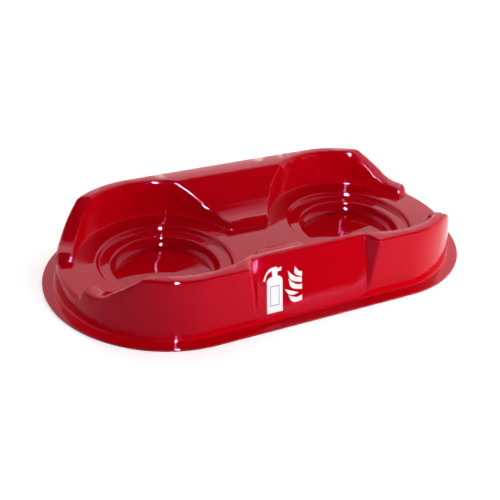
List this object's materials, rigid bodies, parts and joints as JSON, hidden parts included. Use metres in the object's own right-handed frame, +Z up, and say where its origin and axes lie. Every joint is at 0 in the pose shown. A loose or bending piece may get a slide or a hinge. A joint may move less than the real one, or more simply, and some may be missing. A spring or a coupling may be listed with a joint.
{
  "type": "fire extinguisher floor stand",
  "caption": "Low one-piece moulded plastic floor stand with stepped round wells side by side, tall front and back walls and open ends.",
  "frame": {"origin": "on the floor, at the centre of the footprint", "axes": "+X along the stand from one well to the other, +Y from the label side to the back, +Z up"},
  "size_m": [0.632, 0.332, 0.086],
  "materials": {
    "moulded_plastic": "glossy red vacuum-formed sheet",
    "white_print": "white screen print"
  },
  "bodies": {
    "root": {"stand_shell": "moulded_plastic"}
  },
  "joints": []
}
